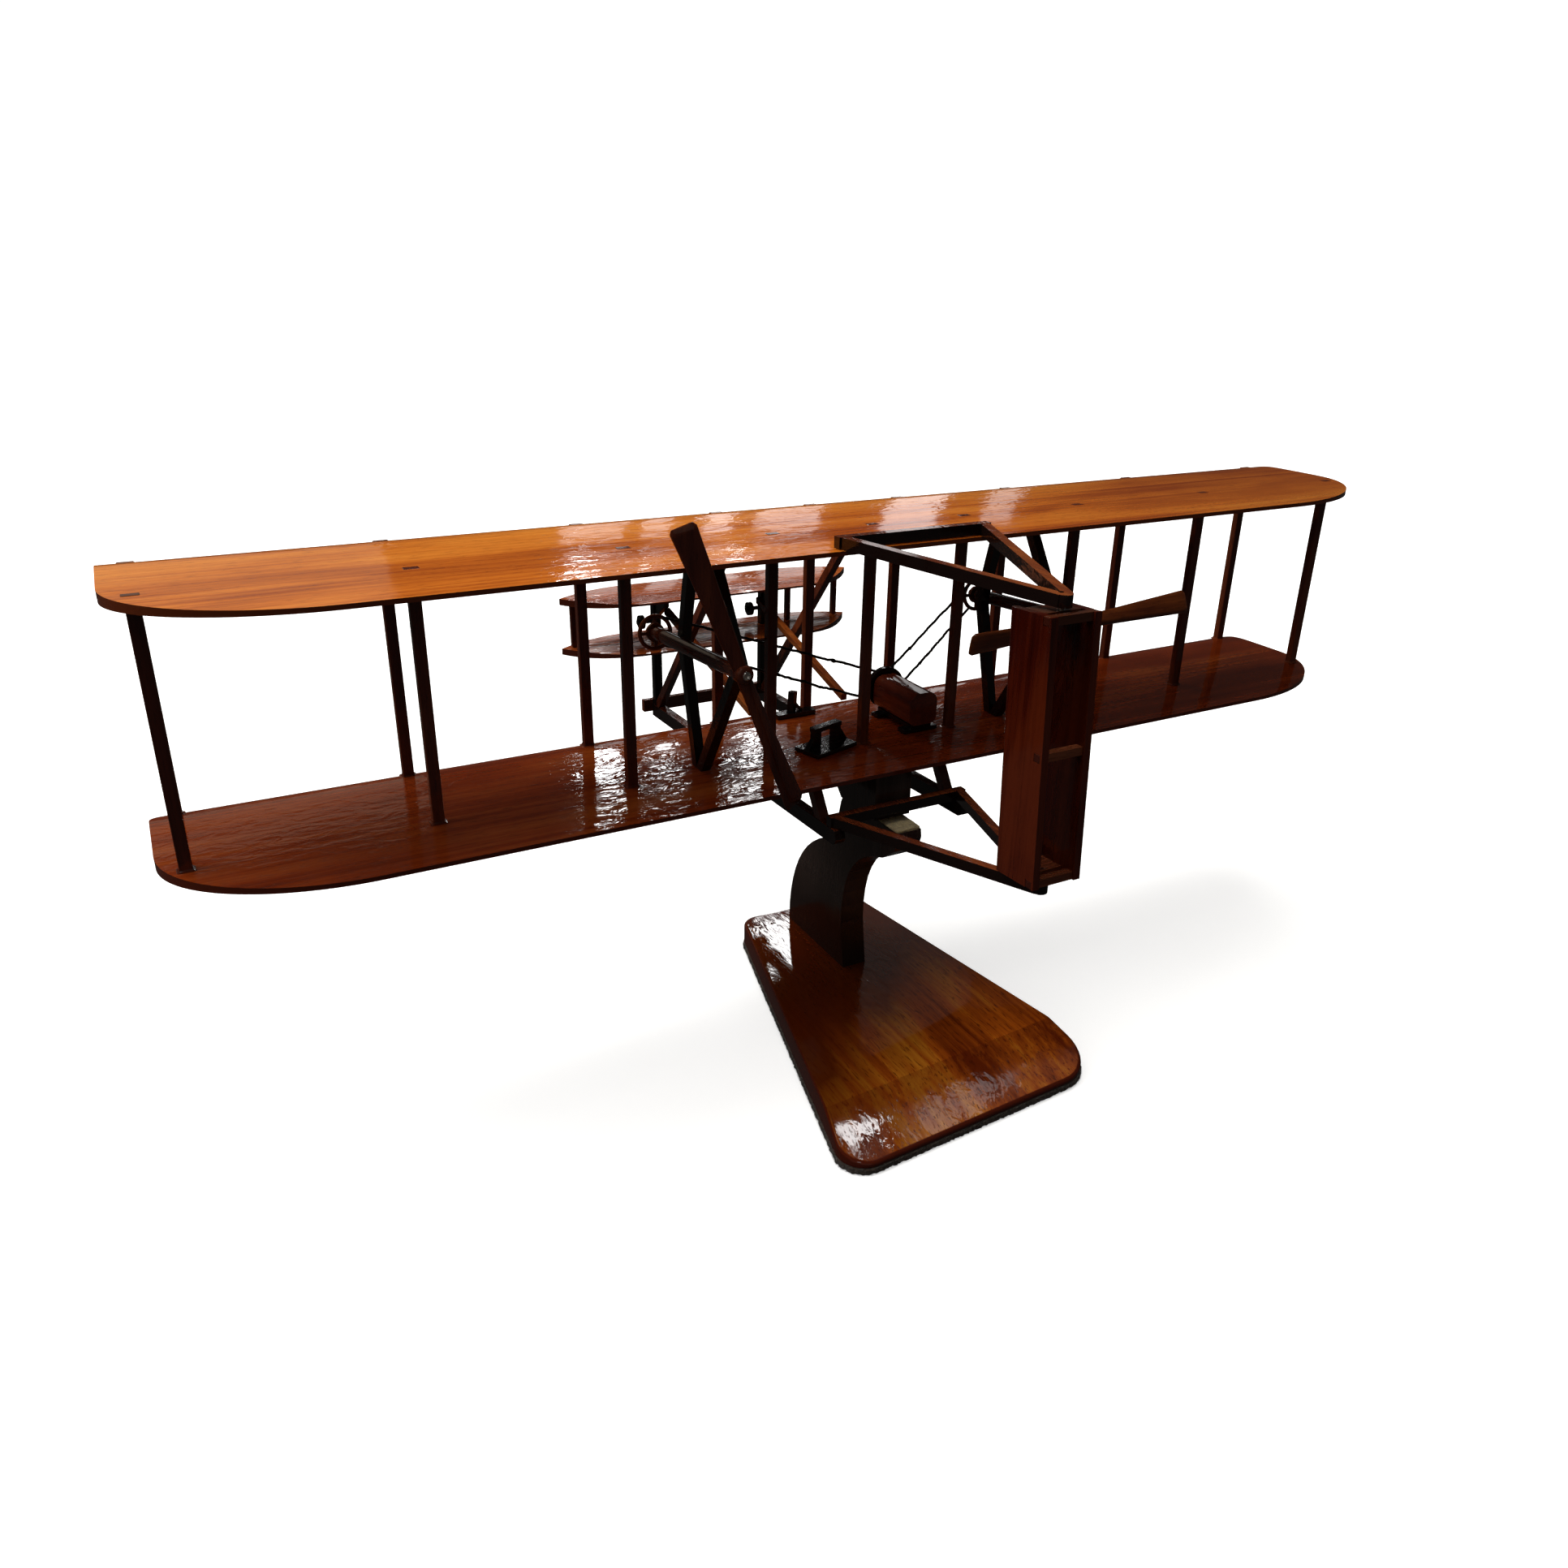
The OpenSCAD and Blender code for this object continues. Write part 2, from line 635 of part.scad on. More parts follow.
// A low seat: a plate, a bridge with an opening under it and a plate sloping down on each side.
module hip_cradle() {
    color(black) translate(cradle_at) rotate([0, 0, 16]) {
        translate([-11, -6, 0]) cube([22, 13, 1.5]);
        for (x = [-8, 2.8]) translate([x, -1, 1.5]) cube([3.8, 2.6, 6.8]);
        translate([-8, -1.4, 8.3]) cube([14.6, 3.4, 1.8]);
        translate([6.6, 1.6, 1.5]) rotate([90, 0, 0]) linear_extrude(2) polygon([[0, 0], [4.4, 0], [0, 6]]);
        translate([-8, 1.6, 1.5]) rotate([90, 0, 0]) linear_extrude(2) polygon([[0, 0], [-3, 0], [0, 4]]);
    }
}

board_at = [-10, 66.5, deck_z + 0.5];
module control_board() {
    color(black) translate(board_at) translate([-9, -2.5, 0]) cube([18, 5, 2]);
}
module control_lever() {
    color(black) between(board_at.z + 2, board_at.z + 20) {
        beam(board_at + [-1.5, 0, 0], board_at + [-0.4, 0.8, 10.5], 3.2, 2.8);
        beam(board_at + [4.6, 0, 0], board_at + [-0.6, 0.6, 6.6], 1.3, 1.3);
    }
}

// ---- tail ----------------------------------------------------------------

// Three bars in a long triangle, round where they meet at the tip.
module outrigger(corner_x, corner_y, z0, tip) {
    for (s = [-1, 1])
        beam([s * corner_x, corner_y, z0 + bar / 2], tip + [s * 1.2, 0, bar / 2], bar, 3.4);
    translate([-corner_x - 2, corner_y - 1.7, z0]) cube([2 * corner_x + 4, 3.4, bar]);
    translate(tip) cylinder(r = 2.6, h = bar, $fn = 40);
}

module upper_outrigger() {
    color(dark) difference() {
        outrigger(29.5, 1, top_z - 0.3, [0, -78.3, top_z - 4.3]);
        rudder_pin_hole();
    }
}
module lower_outrigger() {
    color(dark) difference() {
        outrigger(28.5, 1.5, skid_tail_z, [0, -82, deck_z - 12.4]);
        rudder_pin_hole();
    }
}

module rudder_frame() {
    translate(rudder_top) rotate([-rudder_lean, 0, 0]) children();
}
module rudder_pin_hole() {
    rudder_frame() translate([0, 0, -rudder_h - 20]) cylinder(r = rudder_pin_r, h = rudder_h + 40, $fn = 24);
}

module rudder_pins() {
    color([0.75, 0.72, 0.68]) rudder_frame() {
        translate([0, 0, -2.4]) cylinder(r = rudder_pin_r, h = 5, $fn = 24);
        translate([0, 0, -rudder_h - 2.6]) cylinder(r = rudder_pin_r, h = 5, $fn = 24);
    }
}

fin_front = 11.5;
slat_depth = 3;
slat_t = 2.8;
slat_zs = [-slat_t, -rudder_h / 2 - 1.4, -rudder_h];
module fin() {
    translate([0, 0, -rudder_h]) linear_extrude(rudder_h) union() {
        translate([-fin_t / 2, fin_front - rudder_chord]) square([fin_t, rudder_chord - fin_t / 2]);
        translate([0, fin_front - fin_t / 2]) circle(r = fin_t / 2, $fn = 32);
    }
}

// The rear slats, with the tenons that pass through both sides.
module rear_slats(grow = 0) {
    for (z = slat_zs)
        translate([-rudder_w / 2 - grow, fin_front - rudder_chord + 0.8, z])
            cube([rudder_w + 2 * grow, slat_depth, slat_t]);
}

module rudder_sides() {
    color(mahogany) rudder_frame() difference() {
        each_side() translate([(rudder_w - fin_t) / 2, 0, 0]) fin();
        rear_slats(1);
    }
}

module rudder_slats() {
    inner = rudder_w - 2 * fin_t;
    color(mahogany) rudder_frame() difference() {
        union() {
            rear_slats();
            for (z = [-slat_t, -rudder_h])
                translate([-inner / 2, -1.8, z]) cube([inner, 9.6, slat_t]);
        }
        translate([0, 0, -rudder_h - 1])
            cylinder(r = rudder_pin_r + rudder_pin_play, h = rudder_h + 2, $fn = 32);
    }
}

base_felt();
stand_base();
base_screws();
stand_arm();
arm_pad();
stand_peg();
saddle_block();
lower_wing();
upper_wing();
for (i = rows) front_strut(i);
for (i = rows) rear_strut(i);
port_skid();
starboard_skid();
skid_crossbar();
skid_legs();
nose_posts();
upper_braces();
lower_braces();
upper_elevator();
lower_elevator();
elevator_struts();
elevator_brackets();
elevator_pulleys();
port_shaft();
starboard_shaft();
port_shaft_braces();
starboard_shaft_braces();
sprockets();
prop_nails();
port_propeller();
starboard_propeller();
port_chain();
starboard_chain();
engine_block();
engine_mount();
flywheel();
hip_cradle();
control_board();
control_lever();
upper_outrigger();
lower_outrigger();
rudder_pins();
rudder_sides();
rudder_slats();
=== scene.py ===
"""Looks for a varnished wooden desk model of an early pusher biplane on its stand.

Metres, in the CAD's own frame: +X is the model's starboard side, +Y its nose, +Z up.
"""
import json
import math

import bpy
from mathutils import Matrix, Vector, noise


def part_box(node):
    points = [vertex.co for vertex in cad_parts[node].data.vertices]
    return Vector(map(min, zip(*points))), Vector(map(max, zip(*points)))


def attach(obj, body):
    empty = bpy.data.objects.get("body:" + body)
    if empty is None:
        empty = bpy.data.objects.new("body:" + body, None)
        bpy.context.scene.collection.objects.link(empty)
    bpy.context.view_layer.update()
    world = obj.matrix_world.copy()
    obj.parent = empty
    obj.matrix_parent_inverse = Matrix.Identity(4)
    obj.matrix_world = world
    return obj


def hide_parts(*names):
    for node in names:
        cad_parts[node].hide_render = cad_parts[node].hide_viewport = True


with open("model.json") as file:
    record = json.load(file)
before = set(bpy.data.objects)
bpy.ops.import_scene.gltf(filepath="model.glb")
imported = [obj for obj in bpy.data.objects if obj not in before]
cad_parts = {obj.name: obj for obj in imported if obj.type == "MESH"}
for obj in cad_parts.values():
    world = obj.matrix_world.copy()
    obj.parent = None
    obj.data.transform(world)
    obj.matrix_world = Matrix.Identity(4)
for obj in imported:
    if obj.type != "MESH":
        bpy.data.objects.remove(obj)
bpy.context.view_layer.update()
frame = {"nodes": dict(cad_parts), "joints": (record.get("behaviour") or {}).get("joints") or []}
NODES = frame["nodes"]

MM = 0.001
UP = Vector((0, 0, 1))


# ---- camera --------------------------------------------------------------

HEADING = math.radians(28.64)   # from +Y towards +X
DIP = math.radians(23.60)       # below the horizon
ROLL = math.radians(1.04)
CAMERA_AT = Vector((-0.2389, -0.3449, 0.2884))
SENSOR, LENS = 36, 27.62        # millimetres


def direction(heading, rise):
    """Unit vector at a heading from +Y towards +X and a rise above the horizon, in radians."""
    flat = math.cos(rise)
    return Vector((math.sin(heading) * flat, math.cos(heading) * flat, math.sin(rise)))


def place_camera():
    """The one camera, which looks down at the model from behind its port side."""
    ahead = direction(HEADING, -DIP)
    level = Vector((math.cos(HEADING), -math.sin(HEADING), 0))
    lift = level.cross(ahead)
    right = level * math.cos(ROLL) + lift * math.sin(ROLL)
    up = lift * math.cos(ROLL) - level * math.sin(ROLL)
    turn = Matrix((right, up, -ahead)).transposed().to_4x4()
    camera = bpy.data.objects.new("camera", bpy.data.cameras.new("camera"))
    camera.data.sensor_width = SENSOR
    camera.data.lens = LENS
    camera.data.clip_start = 0.01
    camera.data.clip_end = 100
    camera.matrix_world = Matrix.Translation(CAMERA_AT) @ turn
    bpy.context.scene.collection.objects.link(camera)
    bpy.context.scene.camera = camera


place_camera()


# ---- material kit --------------------------------------------------------

class Shader:
    """A material in the making: nodes are added with their inputs, a value or another node's socket."""

    def __init__(self, name):
        self.material = bpy.data.materials.new(name)
        self.material.use_nodes = True
        self.tree = self.material.node_tree
        self.tree.nodes.clear()
        self.where = self.add("TexCoord").outputs["Object"]

    def add(self, kind, inputs=None, **settings):
        """A node of this kind, with its inputs and its own settings."""
        node = self.tree.nodes.new("ShaderNode" + kind)
        for name, value in settings.items():
            setattr(node, name, value)
        for name, value in (inputs or {}).items():
            if isinstance(value, bpy.types.NodeSocket):
                self.tree.links.new(value, node.inputs[name])
            else:
                node.inputs[name].default_value = value
        return node

    def noise(self, scale, detail=3.0, rough=0.55, warp=0.0, shift=(0, 0, 0)):
        """Noise with its own frequency, per metre, along each axis; 0 to 1."""
        place = self.add("Mapping", {"Vector": self.where, "Scale": scale, "Location": shift})
        made = self.add("TexNoise", {"Vector": place.outputs[0], "Scale": 1.0, "Detail": detail,
                                     "Roughness": rough, "Distortion": warp})
        return made.outputs["Fac"]

    def ramp(self, value, low, high, out_low=0.0, out_high=1.0):
        """value taken from low..high to out_low..out_high, and held at the ends."""
        made = self.add("MapRange", {"Value": value, "From Min": low, "From Max": high,
                                     "To Min": out_low, "To Max": out_high})
        return made.outputs[0]

    def math(self, operation, a, b):
        """One sum of two values."""
        made = self.add("Math", operation=operation)
        for socket, value in zip(made.inputs, (a, b)):
            if isinstance(value, bpy.types.NodeSocket):
                self.tree.links.new(value, socket)
            else:
                socket.default_value = value
        return made.outputs[0]

    def mix(self, share, a, b):
        """Colour a where share is 0, colour b where it is 1."""
        made = self.add("Mix", data_type="RGBA")
        for index, value in ((0, share), (6, a), (7, b)):
            if isinstance(value, bpy.types.NodeSocket):
                self.tree.links.new(value, made.inputs[index])
            else:
                made.inputs[index].default_value = value if index == 0 else (*value, 1)
        return made.outputs[2]

    def bump(self, height, depth):
        """The normal of a surface whose height, 0 to 1, stands for depth in metres."""
        return self.add("Bump", {"Height": height, "Distance": depth}).outputs[0]

    def finish(self, **inputs):
        """Joins a Principled shader with these inputs, underscores for spaces."""
        shader = self.add("BsdfPrincipled", {k.replace("_", " "): v for k, v in inputs.items()})
        output = self.add("OutputMaterial")
        self.tree.links.new(shader.outputs[0], output.inputs["Surface"])
        return self.material


def along(axis, lengthwise, crosswise):
    """Frequencies for a pattern stretched along one axis."""
    return tuple(lengthwise if letter == axis else crosswise for letter in "XYZ")


def varnished(name, dark, mid, light, grain, figure, ripple, shine, seed,
              rim=None, stain_and_painted_shade=None, pitted=0.35):
    """Stained wood under gloss varnish: growth lines, broad bands, short open pores and brushed waves.

    grain is the axis along which the wood grew, figure how cloudy its colour is, ripple how wavy its
    varnish, shine the varnish's least roughness, and seed tells one board from another.
    rim is a second colour by the way a face looks: painted shade on faces that look away from the light
    above on most woods, the darker end grain on the slats' ends. It gives an axis, how far along it the
    face looks where that colour is full and where it is gone, and its colour. shadow is a deeper colour
    by place: painted shade and reflection on most woods, a real darker stain on the topmost slat. It gives
    a direction, the distances along it, in metres, where it is full and where it is gone, its depth.
    pitted is how dark the open pores are.
    """
    s = Shader(name)
    shift = (seed, seed * 1.7, seed * 0.6)
    lines = s.noise(along(grain, 5, 420), 5, 0.62, 0.3, shift)
    broad = s.noise(along(grain, 3.2, 55), 2.5, 0.5, 0.6, shift)
    cloud = s.noise(along(grain, 9, 26), 3, 0.5, 0.8, shift)
    pores = s.noise(along(grain, 170, 1500), 2, 0.6, 0.2, shift)
    tone = s.math("ADD", s.math("MULTIPLY", lines, 0.55), s.math("MULTIPLY", broad, 0.6))
    tone = s.math("ADD", tone, s.math("MULTIPLY", s.ramp(cloud, 0.3, 0.7, -0.5, 0.5), figure))
    body = s.mix(s.ramp(tone, 0.38, 0.60), dark, mid)
    body = s.mix(s.ramp(tone, 0.58, 0.84), body, light)
    open_pore = s.ramp(pores, 0.57, 0.65)
    body = s.mix(s.math("MULTIPLY", open_pore, pitted), body, tuple(c * 0.4 for c in dark))
    # Painted shade and reflection by place on most woods; a real darker stain on the topmost slat.
    if stain_and_painted_shade:
        heading, full, clear, depth = stain_and_painted_shade
        place = s.add("VectorMath", {0: s.where, 1: heading}, operation="DOT_PRODUCT").outputs["Value"]
        place = s.math("ADD", place, s.ramp(cloud, 0.3, 0.7, -0.012, 0.012))
        body = s.mix(s.ramp(place, full, clear, depth, 0.0), body, tuple(c * 0.45 for c in dark))
    # Painted shade on faces that look sideways on most woods; the darker end grain of the slats' ends.
    if rim:
        axis, full, clear, colour = rim
        facing = s.add("SeparateXYZ", {"Vector": s.add("NewGeometry").outputs["Normal"]})
        level = s.math("ABSOLUTE", facing.outputs[axis], 0.0)
        body = s.mix(s.ramp(level, full, clear, 1.0, 0.0), body, colour)
    brush = s.noise(along(grain, 30, 110), 3, 0.55, 0.4, shift)
    waves = s.noise(along(grain, 105, 220), 2.5, 0.55, 0.8, shift)
    patches = s.ramp(s.noise(along(grain, 12, 22), 2, 0.5, 0.4, shift), 0.46, 0.62, 0.10, 1.0)
    height = s.math("ADD", s.math("MULTIPLY", brush, 0.45), s.math("MULTIPLY", waves, patches))
    height = s.math("SUBTRACT", height, s.math("MULTIPLY", open_pore, 0.03))
    haze = s.noise((70, 70, 70), 4, 0.6, 0.0, shift)
    rough = s.ramp(haze, 0.35, 0.75, shine, shine + 0.06)
    return s.finish(Base_Color=body, Roughness=rough, IOR=1.5,
                    Normal=s.bump(height, 0.3 * MM * ripple))


# Painted shade on sideways faces: the rim colour is full where the upright part of a face's normal is 0.55
# or less, gone from 0.93.
SIDE_SHADE = ("Z", 0.55, 0.93)
WOODS = {
    # Painted shade: darker sides, and darker and redder towards the starboard tip, where the light falls
    # off.
    "upper_wing": varnished("upper_wing_varnish", (0.30, 0.050, 0.005), (0.60, 0.148, 0.012),
                            (0.84, 0.280, 0.032), "X", figure=0.28, ripple=0.6, shine=0.035, seed=0.0,
                            rim=(*SIDE_SHADE, (0.13, 0.025, 0.006)), stain_and_painted_shade=((1, 0, 0), 0.19, 0.0, 0.42)),
    # painted shade on the sides
    "lower_wing": varnished("lower_wing_varnish", (0.105, 0.012, 0.0018), (0.205, 0.028, 0.004),
                            (0.31, 0.066, 0.011), "X", figure=0.25, ripple=0.8, shine=0.025, seed=3.1,
                            rim=(*SIDE_SHADE, (0.09, 0.014, 0.005))),
    # painted shade on the sides
    "elevator": varnished("elevator_varnish", (0.14, 0.022, 0.005), (0.31, 0.062, 0.011),
                          (0.50, 0.130, 0.022), "X", figure=0.25, ripple=0.8, shine=0.04, seed=4.9,
                          rim=(*SIDE_SHADE, (0.07, 0.012, 0.005))),
    # Painted shade and reflection: darker and redder towards the port front, where the arm's shade and a
    # dark reflection lie; the rim colour is painted shade on the rear bevel and the sides.
    "base": varnished("base_varnish", (0.15, 0.020, 0.002), (0.53, 0.110, 0.008),
                      (1.00, 0.375, 0.030), "Y", figure=0.38, ripple=0.45, shine=0.015, seed=5.3,
                      rim=("Z", 0.955, 0.9715, (0.070, 0.009, 0.003)),   # painted shade: a third of it on the bevel, all on the sides
                      stain_and_painted_shade=((-0.6, 0.8, 0), 0.010, -0.058, 0.98), pitted=0.75),
    "upright": varnished("strut_varnish", (0.045, 0.008, 0.004), (0.095, 0.018, 0.008),
                         (0.16, 0.038, 0.012), "Z", figure=0.3, ripple=0.5, shine=0.07, seed=1.2),
    # painted shade: near-black sides under the tops
    "lengthwise": varnished("bar_varnish", (0.055, 0.010, 0.004), (0.13, 0.026, 0.008),
                            (0.28, 0.070, 0.014), "Y", figure=0.3, ripple=1.2, shine=0.05, seed=2.2,
                            rim=(*SIDE_SHADE, (0.010, 0.004, 0.003))),
    "shaft": varnished("shaft_varnish", (0.030, 0.006, 0.003), (0.065, 0.013, 0.006),
                       (0.12, 0.030, 0.012), "Y", figure=0.3, ripple=0.6, shine=0.07, seed=2.7),
    "crosswise": varnished("cross_bar_varnish", (0.050, 0.010, 0.004), (0.12, 0.024, 0.008),
                           (0.24, 0.060, 0.014), "X", figure=0.3, ripple=0.8, shine=0.06, seed=4.2),
    "rudder": varnished("rudder_varnish", (0.018, 0.0012, 0.0006), (0.050, 0.0045, 0.0012),
                        (0.10, 0.014, 0.0035), "Z", figure=0.7, ripple=1.0, shine=0.04, seed=6.6,
                        pitted=0.15),
    "slat": varnished("slat_varnish", (0.10, 0.024, 0.010), (0.20, 0.056, 0.022),
                      (0.32, 0.105, 0.044), "X", figure=0.4, ripple=0.6, shine=0.07, seed=1.9,
                      rim=("X", 0.9, 0.5, (0.045, 0.008, 0.004)),
                      stain_and_painted_shade=((0, 0, 1), 0.189, 0.187, 0.9)),            # the topmost slat's own darker stain
    "amber": varnished("amber_varnish", (0.05, 0.009, 0.003), (0.14, 0.030, 0.006),
                       (0.30, 0.085, 0.014), "Y", figure=0.4, ripple=0.8, shine=0.06, seed=7.7),
    # Painted sheen and reflection: the greyish colour stands in part for a sheen on the upper arm, and the
    # darker, redder foot for the base's reflection.
    "arm": varnished("arm_varnish", (0.026, 0.009, 0.006), (0.052, 0.032, 0.025),
                     (0.072, 0.047, 0.038), "Z", figure=0.5, ripple=0.9, shine=0.08, seed=8.4,
                     stain_and_painted_shade=((0, 0, 1), 0.036, 0.060, 0.85), pitted=0.2),
    # Lit and shaded copies of one propeller wood: the starboard copy is lighter and more amber, painted
    # light for its top-lit blade.
    "port_propeller": varnished("port_propeller_varnish", (0.028, 0.005, 0.003), (0.062, 0.012, 0.006),
                                (0.12, 0.028, 0.010), "Z", figure=0.3, ripple=0.5, shine=0.07, seed=9.1),
    "starboard_propeller": varnished("starboard_propeller_lit_varnish", (0.075, 0.014, 0.004),
                                     (0.17, 0.040, 0.009), (0.30, 0.090, 0.018), "X",
                                     figure=0.3, ripple=0.5, shine=0.07, seed=9.1),
    "engine": varnished("engine_varnish", (0.060, 0.008, 0.004), (0.125, 0.019, 0.007),
                        (0.19, 0.038, 0.010), "Y", figure=0.4, ripple=0.35, shine=0.05, seed=0.8),
    "peg": varnished("peg_wood", (0.25, 0.15, 0.07), (0.42, 0.28, 0.14), (0.6, 0.44, 0.25),
                     "Z", figure=0.2, ripple=0.3, shine=0.35, seed=2.9),
}


def black_stain():
    """Brushed black paint: thick, glossy and lumpy, rubbed thin in places."""
    s = Shader("black_stain")
    streaks = s.noise((420, 420, 420), 4, 0.6, 0.3)
    lumps = s.noise((150, 150, 150), 3, 0.5, 0.6, (1, 2, 3))
    body = s.mix(s.ramp(lumps, 0.55, 0.8), (0.004, 0.003, 0.003), (0.022, 0.008, 0.005))
    rough = s.ramp(streaks, 0.3, 0.7, 0.10, 0.24)
    height = s.math("ADD", s.math("MULTIPLY", streaks, 0.4), lumps)
    return s.finish(Base_Color=body, Roughness=rough, IOR=1.5, Normal=s.bump(height, 0.35 * MM))


def bright_metal(name, colour, shine):
    """Bright drawn metal: fine scratches and a few dull spots."""
    s = Shader(name)
    scratches = s.noise((900, 2600, 900), 3, 0.6)
    dull = s.noise((400, 400, 400), 4, 0.6, 0.4, (4, 1, 2))
    body = s.mix(s.ramp(dull, 0.5, 0.8), colour, tuple(c * 0.45 for c in colour))
    rough = s.ramp(dull, 0.35, 0.7, shine, shine + 0.18)
    return s.finish(Base_Color=body, Metallic=1.0, Roughness=rough, Normal=s.bump(scratches, 0.03 * MM))


def felt(name, dark, light):
    """Pressed felt: tangled fibres, no gloss."""
    s = Shader(name)
    fibres = s.noise((1900, 1900, 1900), 5, 0.75, 1.6)
    tufts = s.noise((420, 420, 420), 3, 0.6, 0.8, (2, 5, 1))
    tone = s.math("ADD", s.math("MULTIPLY", fibres, 0.6), s.math("MULTIPLY", tufts, 0.4))
    body = s.mix(s.ramp(tone, 0.38, 0.62), dark, light)
    return s.finish(Base_Color=body, Roughness=0.95, Sheen_Weight=0.35, Sheen_Roughness=0.5,
                    Normal=s.bump(tone, 0.6 * MM))


BLACK = black_stain()
STEEL = bright_metal("nail_steel", (0.78, 0.75, 0.70), 0.16)
BRASS = bright_metal("screw_brass", (0.72, 0.53, 0.25), 0.25)
WIRE = bright_metal("chain_wire", (0.030, 0.026, 0.024), 0.38)
DARK_FELT = felt("base_felt", (0.010, 0.006, 0.003), (0.085, 0.055, 0.034))
PALE_FELT = felt("pad_felt", (0.24, 0.17, 0.07), (0.72, 0.58, 0.30))


# ---- mesh kit ------------------------------------------------------------

def new_piece(name, vertices, faces, material, body, slot, nodes=(), sharp=40):
    """A smooth mesh piece that rides on a body and may stand for CAD nodes."""
    mesh = bpy.data.meshes.new(name)
    mesh.from_pydata([tuple(v) for v in vertices], [], faces)
    mesh.validate()
    mesh.update()
    mesh.shade_smooth()
    mesh.set_sharp_from_angle(angle=math.radians(sharp))
    mesh.materials.append(material)
    piece = bpy.data.objects.new(name, mesh)
    bpy.context.scene.collection.objects.link(piece)
    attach(piece, body)
    if nodes:
        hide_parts(*nodes)
    return piece


def soften(piece, width, segments=3, angle=35):
    """Rounds a piece's sharp edges by width, in millimetres."""
    weld = piece.modifiers.new("weld", "WELD")
    weld.merge_threshold = 0.002 * MM
    bevel = piece.modifiers.new("round", "BEVEL")
    bevel.width = width * MM
    bevel.segments = segments
    bevel.limit_method = "ANGLE"
    bevel.angle_limit = math.radians(angle)
    bevel.harden_normals = True
    bevel.use_clamp_overlap = True


def paint(node, material):
    """Gives a carried-over CAD node its material."""
    piece = NODES[node]
    piece.data.materials.clear()
    piece.data.materials.append(material)


def eased(value, power):
    """value with its size raised to a power and its sign kept."""
    return math.copysign(abs(value) ** power, value)


def turns(count):
    """Even steps round a full turn."""
    return [2 * math.pi * k / count for k in range(count)]


def rings_to_faces(count, per_ring):
    """Quads between rings of points laid out one after another."""
    return [(i * per_ring + j, i * per_ring + (j + 1) % per_ring,
             (i + 1) * per_ring + (j + 1) % per_ring, (i + 1) * per_ring + j)
            for i in range(count - 1) for j in range(per_ring)]


def capped_rings(count, per_ring):
    """The same with both ends closed. Faces look outward if a ring runs clockwise, seen along the rings."""
    last = (count - 1) * per_ring
    ends = [tuple(reversed(range(per_ring))), tuple(range(last, last + per_ring))]
    return rings_to_faces(count, per_ring) + ends


def tube(points, radii):
    """Vertices and faces of a round tube through the points, closed at both ends."""
    around = 10
    vertices = []
    for k, (p, r) in enumerate(zip(points, radii)):
        ahead = (points[min(k + 1, len(points) - 1)] - points[max(k - 1, 0)]).normalized()
        side = ahead.cross(UP).normalized()
        up = ahead.cross(side)
        vertices += [p + (side * math.cos(a) + up * math.sin(a)) * r for a in turns(around)]
    return vertices, capped_rings(len(points), around)


def lathed(profile, at, axle, around, bored=False):
    """Vertices and faces turned about an axle; the profile's points are (radius, distance along it).

    They are in millimetres. The ends are closed, or joined by a bore.
    """
    side = axle.cross(UP).normalized()
    up = axle.cross(side)
    vertices = [at + axle * (d * MM) + (side * math.cos(a) + up * math.sin(a)) * (r * MM)
                for r, d in profile for a in turns(around)]
    if not bored:
        return vertices, capped_rings(len(profile), around)
    faces = rings_to_faces(len(profile) + 1, around)
    return vertices, [tuple(v % len(vertices) for v in face) for face in faces]


def joined(shells):
    """Several shells, each its vertices and faces, as one."""
    vertices, faces = [], []
    for more, sheets in shells:
        faces += [tuple(len(vertices) + v for v in face) for face in sheets]
        vertices += more
    return vertices, faces


# ---- wings ---------------------------------------------------------------

# Heights in millimetres from a wing's deck, which lies CROWN below its highest line.
CROWN_AT, CROWN, NOSE_DROP, TAIL_DROP = 0.25, 0.5, 2.9, 1.1
NOSE_ROUND, NOSE_LOW, NOSE_DEEP, TAIL_RISE = 0.08, -2.4, 2.1, 2.3
TIP_NOSE = 8 * MM
TIP_SPAN, TIP_SWEEP = 62 * MM, 42 * MM


def crown(share):
    """Height of a wing's top above its deck, at a share of the chord."""
    if share < CROWN_AT:
        return (CROWN - NOSE_DROP * (1 - share / CROWN_AT) ** 3.2) * MM
    return (CROWN - TAIL_DROP * ((share - CROWN_AT) / (1 - CROWN_AT)) ** 2) * MM


def floor_of(share):
    """The same for its underside."""
    if share < NOSE_ROUND:
        return (NOSE_LOW - NOSE_DEEP * math.sqrt(1 - (1 - share / NOSE_ROUND) ** 2)) * MM
    return (NOSE_LOW - NOSE_DEEP + TAIL_RISE * (share - NOSE_ROUND) / (1 - NOSE_ROUND)) * MM


def deck_of(node):
    """Height of a wing's deck."""
    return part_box(node)[1].z - CROWN * MM


def wing_edges(x, low, high):
    """Tail and nose Y of a wing at x, with its rounded tips; low and high are the wing's box."""
    out = high.x - abs(x)
    nose, tail = high.y, low.y
    if out < TIP_NOSE:
        nose += math.sqrt(max(0, TIP_NOSE ** 2 - (TIP_NOSE - out) ** 2)) - TIP_NOSE
    if out < TIP_SPAN:
        tail += TIP_SWEEP * (1 - math.sqrt(max(0, 1 - (1 - out / TIP_SPAN) ** 2)))
    return tail, nose


